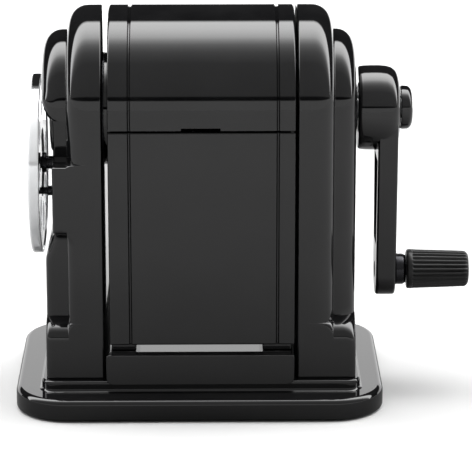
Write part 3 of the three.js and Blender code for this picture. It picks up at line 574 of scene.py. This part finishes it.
def build_shell():
    profile = skin_profile(SHELL_MIN_X, SHELL_MAX_X, 2.0)
    bm = bmesh.new()
    straight = (SEAM_Z, SEAM_Z + 0.4, SEAM_Z + 1.2)
    rows = [[(x, -(ARCH_R - d), z) for x, d in profile] for z in straight]
    arc = 128
    for i in range(arc + 1):
        phi = math.pi - math.pi * i / arc
        rows.append([(x, (ARCH_R - d) * math.cos(phi), ARCH_Z + (ARCH_R - d) * math.sin(phi)) for x, d in profile])
    rows += [[(x, ARCH_R - d, z) for x, d in profile] for z in reversed(straight)]
    loft(bm, rows)
    shell = finish_object("dome_shell", bm, "frame", ENAMEL, sharp=40, replaced=("dome_cover",))
    boolean(shell, [box_tool(-8, 6, -36, -30, SEAM_Z - 2, SEAM_Z + 0.9)], sharp=40)
    top = SEAM_Z - 0.7
    sheets = ((1, "rear_sheet", "frame", ENAMEL, "rear_panel", REAR_BOTTOM_Z), (-1, "receptacle_face", "receptacle", BIN, "receptacle", PANEL_BOTTOM_Z))
    for side, name, body, material, node, low in sheets:
        bm = bmesh.new()
        rows = []
        for z, extra in ((low, 0.8), (low + 0.2, 0.25), (low + 0.8, 0), (60, 0), (top - 0.8, 0), (top - 0.2, 0.25), (top, 0.8)):
            rows.append([(x, side * (ARCH_R - (min(d + extra, 2.0) if d < 1.9 else d)), z) for x, d in profile])
        loft(bm, rows)
        sheet = finish_object(name, bm, body, material, sharp=40, replaced=(node,))
        if side > 0:
            boolean(sheet, [rod_tool_y(1.9, x, 30, 36, 99) for x in (-18, 18)], sharp=40)
    bm = bmesh.new()
    pillow(bm, (SHELL_MIN_X, SHELL_MAX_X), (-32.9, BIN_FAR_Y), (BIN_FLOOR_Z, BIN_TOP_Z), (1.5, 1.5, 2, 2), 0.5, xyz)
    tray = finish_object("receptacle_tray", bm, "receptacle", RAW, sharp=40)
    hollow = bmesh.new()
    pillow(hollow, (SHELL_MIN_X + 2, SHELL_MAX_X - 2), (-32.2, BIN_FAR_Y - 2), (BIN_FLOOR_Z + 2, 90), (1, 1, 1.5, 1.5), 0.8, xyz)
    boolean(tray, [cutter_object(hollow)], sharp=40)
    for index, (x0, x1) in enumerate(RIBS_X):
        bm = bmesh.new()
        pillow(bm, (x0 + 0.3, x1 - 0.3), (-33.1, BIN_FAR_Y), (RIB_TOP_Z + 0.3, BIN_FLOOR_Z + 0.4), (0.5,) * 4, 0.3, xyz, 4, 3)
        runner = finish_object(f"receptacle_runner_{index + 1}", bm, "receptacle", BIN, sharp=40)
        if index == 0:
            boolean(runner, [box_tool(-31.6, -26, 19.5, 29, RIB_TOP_Z, RIB_TOP_Z + 1.5)], sharp=40)


def build_guide():
    top = RIB_TOP_Z - 0.15
    bm = bmesh.new()
    pillow(bm, (-35.2, 32.4), (11.3, top), (-38.4, -37.5), (2.6, 2.6, 0.8, 0.8), 0.25, xzy, 8, 4)
    finish_object("guide_rail", bm, "frame", ENAMEL, sharp=40, replaced=("receptacle_guide",))
    bm = bmesh.new()
    pillow(bm, (-34.6, 31.8), (-37.9, -33.6), (FOOT_Z, top), (0.3, 0.3, 0.3, 0.3), 0.3, xyz, 4, 3)
    finish_object("guide_rail_back", bm, "frame", ENAMEL, sharp=40)
    for index, (x0, x1) in enumerate(RIBS_X):
        bm = bmesh.new()
        pillow(bm, (x0, x1), (-34.0, 31), (FOOT_Z, RIB_TOP_Z), (0.5,) * 4, 0.4, xyz, 4, 3)
        rib = finish_object(f"guide_rib_{index + 1}", bm, "frame", ENAMEL, sharp=40)
        if index == 0:
            boolean(rib, [box_tool(-31.6, -26, 5.5, 28.5, FOOT_Z + 1, RIB_TOP_Z + 1)], sharp=40)
    bm = bmesh.new()
    pillow(bm, (-25, 25), (-34.0, 30), (FOOT_Z, FOOT_Z + 1.5), (1,) * 4, 0.3, xyz, 4, 3)
    finish_object("guide_web", bm, "frame", ENAMEL, sharp=40)


# ---- crank ----
def build_crank():
    bm = bmesh.new()
    lathe_x(bm, [(56.0, 4.06), (56.0, 14.3), (56.2, 14.8), (56.7, 15.2), (58.3, 15.4), (60.8, 15.5), (63.8, 15.5), (66.3, 15.3), (68.2, 14.8),
                 (69.6, 13.9), (70.5, 12.7), (71.05, 11.2), (71.3, 9.4), (71.3, 4.06)], 0, AXIS_Z, 128)
    hub = finish_object("crank_casting_arm", bm, "crank", ENAMEL, sharp=40, replaced=("crank_arm",))
    arm = bmesh.new()
    rings = []
    edge = 1.1
    levels = [(63.2, edge), (63.28, edge * 0.62), (63.5, edge * 0.3), (63.85, edge * 0.08), (64.3, 0)]
    levels += [(133.7 - x, inset) for x, inset in reversed(levels)]
    for x, inset in levels:
        outline = []
        for i in range(49):
            a = math.pi + math.pi * i / 48
            outline.append(((9.4 - inset) * math.cos(a), KNOB_Z + (9.4 - inset) * math.sin(a)))
        outline.append((13.0 - inset, AXIS_Z - 3))
        for i in range(17):
            a = math.pi * i / 16
            outline.append(((12.2 - inset) * math.cos(a), AXIS_Z + (2 - inset) * math.sin(a)))
        outline.append((-(13.0 - inset), AXIS_Z - 3))
        rings.append([(x, y, z) for y, z in outline])
    loft(arm, rings)
    trough = bmesh.new()
    rings = []
    for x in (60, 65.4):
        rings.append([(x, -9.2, AXIS_Z - 18), (x, -6.4, KNOB_Z + 11), (x, 6.4, KNOB_Z + 11), (x, 9.2, AXIS_Z - 18)])
    loft(trough, rings)
    boolean(hub, [cutter_object(arm)], "UNION", sharp=40)
    boolean(hub, [cutter_object(trough), rod_tool(4.06, 50, 80, 0, AXIS_Z), rod_tool(3.06, 60, 80, 0, KNOB_Z)], sharp=40)
    bm = bmesh.new()
    lathe_x(bm, [(76.1, 0), (76.1, 4.2), (75.9, 5.8), (75.5, 6.8), (74.9, 7.5), (74.1, 7.9), (72.4, 8.0), (71.9, 7.9), (71.6, 7.5), (71.6, 4.06),
                 (74.6, 4.06), (74.6, 0)], 0, AXIS_Z)
    finish_object("cap_nut", bm, "crank", ENAMEL, replaced=("crank_cap_nut",))
    bm = bmesh.new()
    lathe_x(bm, [(64.0, 0), (64.0, 3), (70.7, 3), (70.7, 5.3), (71.0, 5.7), (73.2, 5.7), (73.9, 5.5), (74.5, 5.0), (74.5, 2.5), (95.0, 2.5), (95.0, 0)], 0, KNOB_Z)
    finish_object("spindle", bm, "crank", BLACK_STEEL, replaced=("grip_spindle",))


def build_grip():
    ribs = 26
    per_rib = 10
    bm = bmesh.new()
    stations = [(74.9, 6.0, 0), (74.9, 6.7, 0), (75.05, 7.05, 0), (75.4, 7.3, 0), (76.4, 7.35, 0), (76.8, 7.3, 0), (77.0, 7.25, 0.4),
                (77.3, 7.2, 1.0), (80.5, 7.1, 1.0), (85.5, 6.95, 1.0), (90.5, 6.8, 1.0), (95, 6.65, 1.0), (96, 6.6, 1.0), (96.6, 6.45, 0.8),
                (97.1, 6.15, 0.3), (97.5, 5.7, 0), (97.75, 5.1, 0), (97.8, 4.4, 0)]
    rings = []
    for x, r, depth in stations:
        ring = []
        for i in range(ribs * per_rib):
            a = 2 * math.pi * i / (ribs * per_rib)
            wave = 0.5 - 0.5 * math.cos(a * ribs)
            local = r - 0.62 * depth * wave ** 1.6
            ring.append((x, local * math.cos(a), KNOB_Z + local * math.sin(a)))
        rings.append(ring)
    loft(bm, rings)
    obj = finish_object("grip_moulding", bm, "grip", GRIP, sharp=60, replaced=("grip",))
    boolean(obj, [rod_tool(2.58, 70, 95.6, 0, KNOB_Z, 48)], sharp=60)


# ---- dial ----
def build_dial():
    outside = [(-62.5, 0), (-62.5, 9), (-62.5, 20), (-62.5, 31.6), (-62.42, 32.1), (-62.2, 32.6), (-61.9, 32.88), (-61.5, DIAL_R), (-61.2, DIAL_R)]
    inside = [(-59.2, DIAL_R), (-58.8, 32.9), (-58.6, 32.7), (-58.5, 32.3), (-58.5, 31.9), (-58.65, 31.75), (-58.9, 31.7), (-58.9, 22), (-58.9, 12.8),
              (-59.1, 12.6), (-61.3, 12.6), (-61.3, 8.8), (-59.6, 8.8), (-59.4, 8.6), (-59.4, 0)]
    bm = bmesh.new()
    lathe_x(bm, outside + inside, 0, DIAL_Z, 160)
    dial = finish_object("dial_plate", bm, "dial", CHROME_PAINTED_REFLECTION, sharp=35, replaced=("dial",))
    tools = [rod_tool(2.26, -70, -50, 0, DIAL_Z, 48)]
    for i, r in enumerate(DIAL_HOLES):
        a = math.pi / 2 + i * math.pi / 4
        tools.append(rod_tool(r, -70, -50, DIAL_RING * math.cos(a), DIAL_Z + DIAL_RING * math.sin(a), 64))
        a = -math.pi / 2 + i * math.pi / 4
        tools.append(rod_tool(1.5, -61.8, -50, 10.7 * math.cos(a), DIAL_Z + 10.7 * math.sin(a), 24))
    boolean(dial, tools, sharp=35)
    bm = bmesh.new()
    lathe_x(bm, [(-63.6, 0), (-63.55, 1.8), (-63.4, 3), (-63.1, 3.6), (-62.8, 3.9), (-62.6, 3.8), (-62.6, 2.2), (-59.1, 2.2), (-59.1, 3.45), (-58.9, 3.65), (-57.5, 3.65),
                 (-57.3, 3.45), (-57.3, 2.4), (-54.1, 2.4), (-54.1, 2.1), (-47, 2.1), (-47, 0)], 0, DIAL_Z, 64)
    finish_object("dial_post", bm, "frame", BLACK_STEEL, replaced=("dial_pivot",))
    bm = bmesh.new()
    lathe_x(bm, [(-61.0, 0), (-60.9, 0.6), (-60.6, 1.0), (-60.1, 1.3), (-57.4, 1.3), (-57.2, 1.5), (-57.1, 1.8), (-51.2, 1.85), (-51.2, 0)], 0, DETENT_Z, 48)
    finish_object("detent_pin", bm, "detent", BLACK_STEEL, replaced=("detent_plunger",))


def build_neck():
    bm = bmesh.new()
    lathe_x(bm, [(-35.9, 16.9), (-35.9, 20.2), (-35.7, 20.4), (-21.4, 20.4), (-20.6, 19.8), (-20.6, 16.9)], 0, AXIS_Z, 128)
    finish_object("gear_housing", bm, "frame", ENAMEL)


def dress_nodes():
    looks = {
        "base_pad": PAD, "lock_spring": STEEL, "detent_spring": STEEL, "drive_shaft": STEEL, "crank_bush": BRONZE,
        "thrust_washer": BLACK_STEEL, "ring_gear": BLACK_STEEL, "cutter_carrier": CUTTER, "cutter_1": CUTTER,
        "cutter_2": CUTTER, "cutter_pin_1": STEEL, "cutter_pin_2": STEEL,
    }
    for name, obj in nodes.items():
        material = looks.get(name, STEEL if "screw" in name else None)
        if material is None:
            material = ENAMEL
        obj.data.materials.clear()
        obj.data.materials.append(material)
        obj.data.shade_smooth()
        obj.data.set_sharp_from_angle(angle=math.radians(32))


def flatten_shading():
    """Large faces keep their own direction where they meet a rounded edge."""
    for obj in built:
        modifier = obj.modifiers.new("normals", "WEIGHTED_NORMAL")
        modifier.keep_sharp = True


# ---- stage ----
def build_world():
    world = bpy.data.worlds.new("studio")
    bpy.context.scene.world = world
    world.use_nodes = True
    tree = world.node_tree
    background = tree.nodes["Background"]
    coords = tree.nodes.new("ShaderNodeTexCoord")
    split = tree.nodes.new("ShaderNodeSeparateXYZ")
    tree.links.new(coords.outputs["Generated"], split.inputs["Vector"])
    flip = tree.nodes.new("ShaderNodeMath")
    flip.operation = "MULTIPLY"
    flip.inputs[1].default_value = -1
    tree.links.new(split.outputs["Y"], flip.inputs[0])
    angle = tree.nodes.new("ShaderNodeMath")
    angle.operation = "ARCTAN2"
    tree.links.new(split.outputs["Z"], angle.inputs[0])
    tree.links.new(flip.outputs[0], angle.inputs[1])
    share = tree.nodes.new("ShaderNodeMath")
    share.operation = "DIVIDE"
    share.inputs[1].default_value = math.pi
    tree.links.new(angle.outputs[0], share.inputs[0])
    ramp = tree.nodes.new("ShaderNodeValToRGB")
    peak = 9.2
    stops = [(0, 1.1), (10.2, 1.1), (11.2, 0.0), (15.2, 0.0), (16.4, 0.45), (56, 0.48), (66, 0.8), (71.4, 1.05), (76, 1.5), (81.4, 2.3),
             (87, 4.2), (93, 7.3), (99.5, 8.6), (107, 9.2), (118, 8.4), (122.5, 0.02), (180, 0.02)]
    elements = ramp.color_ramp.elements
    while len(elements) > 1:
        elements.remove(elements[-1])
    elements[0].position = 0
    elements[0].color = (stops[0][1] / peak,) * 3 + (1,)
    for degrees, level in stops[1:]:
        element = elements.new(degrees / 180)
        element.color = (level / peak,) * 3 + (1,)
    tree.links.new(share.outputs[0], ramp.inputs["Fac"])
    tree.links.new(ramp.outputs["Color"], background.inputs["Color"])
    background.inputs["Strength"].default_value = peak


def floor_color(tree):
    """Pale all over; in reflections it darkens towards the object, like a floor in its soft shadow."""
    place = tree.nodes.new("ShaderNodeNewGeometry")
    length = tree.nodes.new("ShaderNodeVectorMath")
    length.operation = "LENGTH"
    tree.links.new(place.outputs["Position"], length.inputs[0])
    ramp = tree.nodes.new("ShaderNodeValToRGB")
    elements = ramp.color_ramp.elements
    while len(elements) > 1:
        elements.remove(elements[-1])
    pale = 0.36
    elements[0].position = 0.1
    elements[0].color = (pale * 0.3,) * 3 + (1,)
    for far, share in ((0.15, 0.45), (0.25, 0.62), (0.45, 0.85), (0.8, 1.0)):
        elements.new(far).color = (pale * share,) * 3 + (1,)
    scale = tree.nodes.new("ShaderNodeMath")
    scale.operation = "MULTIPLY"
    scale.inputs[1].default_value = 2.0
    tree.links.new(length.outputs["Value"], scale.inputs[0])
    tree.links.new(scale.outputs[0], ramp.inputs["Fac"])
    path = tree.nodes.new("ShaderNodeLightPath")
    blend = tree.nodes.new("ShaderNodeMix")
    blend.data_type = "RGBA"
    tree.links.new(path.outputs["Is Camera Ray"], blend.inputs["Factor"])
    tree.links.new(ramp.outputs["Color"], blend.inputs[6])
    blend.inputs[7].default_value = (0.5, 0.5, 0.5, 1)
    return blend.outputs[2]


def build_back_card():
    """A low soft light behind the object that only its reflections show."""
    data = bpy.data.lights.new("back_card", "AREA")
    data.shape = "RECTANGLE"
    data.size, data.size_y = 1.6, 0.17
    data.energy = 1.75 * math.pi * data.size * data.size_y
    card = bpy.data.objects.new("back_card", data)
    card.location = (0, 0.40, 0.085)
    card.rotation_euler = (math.radians(-90), 0, 0)
    card.visible_camera = False
    card.visible_diffuse = False
    bpy.context.scene.collection.objects.link(card)


def build_stage():
    bm = bmesh.new()
    bmesh.ops.create_circle(bm, cap_ends=True, radius=8, segments=64)
    mesh = bpy.data.meshes.new("floor")
    bm.to_mesh(mesh)
    bm.free()
    floor = bpy.data.objects.new("floor", mesh)
    bpy.context.scene.collection.objects.link(floor)
    material, tree, shader = node_material("pale_floor")
    tree.links.new(floor_color(tree), shader.inputs["Base Color"])
    shader.inputs["Roughness"].default_value = 0.9
    shader.inputs["Specular IOR Level"].default_value = 0.0
    mesh.materials.append(material)


def build_camera():
    data = bpy.data.cameras.new("camera")
    data.sensor_width = 36
    data.lens = 211.37
    data.clip_start = 0.02
    data.clip_end = 30
    camera = bpy.data.objects.new("camera", data)
    camera.location = (0, -0.9807, 0.3462)
    camera.rotation_euler = (math.radians(90 - 16.255), 0, math.radians(-0.694))
    bpy.context.scene.collection.objects.link(camera)
    bpy.context.scene.camera = camera
    bpy.context.scene.view_settings.view_transform = "Standard"
    bpy.context.scene.view_settings.look = "None"


dress_nodes()
build_base()
build_castings()
build_shell()
build_guide()
build_crank()
build_grip()
build_dial()
build_neck()
flatten_shading()
build_world()
build_stage()
build_back_card()
build_camera()
